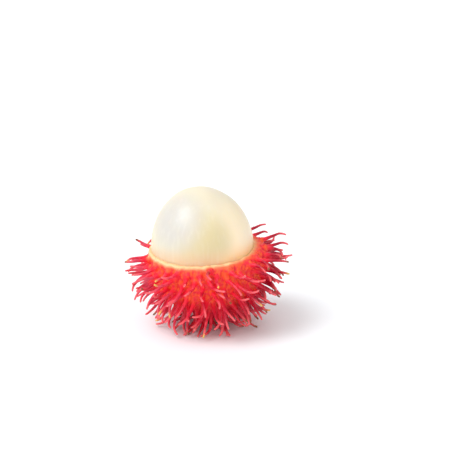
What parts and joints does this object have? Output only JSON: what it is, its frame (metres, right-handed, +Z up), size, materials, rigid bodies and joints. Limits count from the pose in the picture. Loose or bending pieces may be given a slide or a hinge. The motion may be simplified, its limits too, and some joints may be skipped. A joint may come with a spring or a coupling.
{
  "type": "half-peeled rambutan fruit",
  "caption": "Half-peeled tropical fruit: a smooth pale egg of flesh stands in a red peel cup covered in soft curved spines.",
  "frame": {"origin": "middle of the flat end of the stub of the stalk, on the surface that the fruit stands on", "axes": "+Z up, -Y towards the viewer of the picture, +X to that viewer's right; the fruit's own axis leans 4 degrees to -X and 3 degrees to -Y"},
  "size_m": [0.0544, 0.0546, 0.0458],
  "materials": {
    "peel": "soft satin red skin, crimson spines, cream cut edge and lining",
    "flesh": "moist, translucent pale flesh"
  },
  "bodies": {
    "root": {"peel": "peel", "flesh": "flesh"}
  },
  "joints": []
}
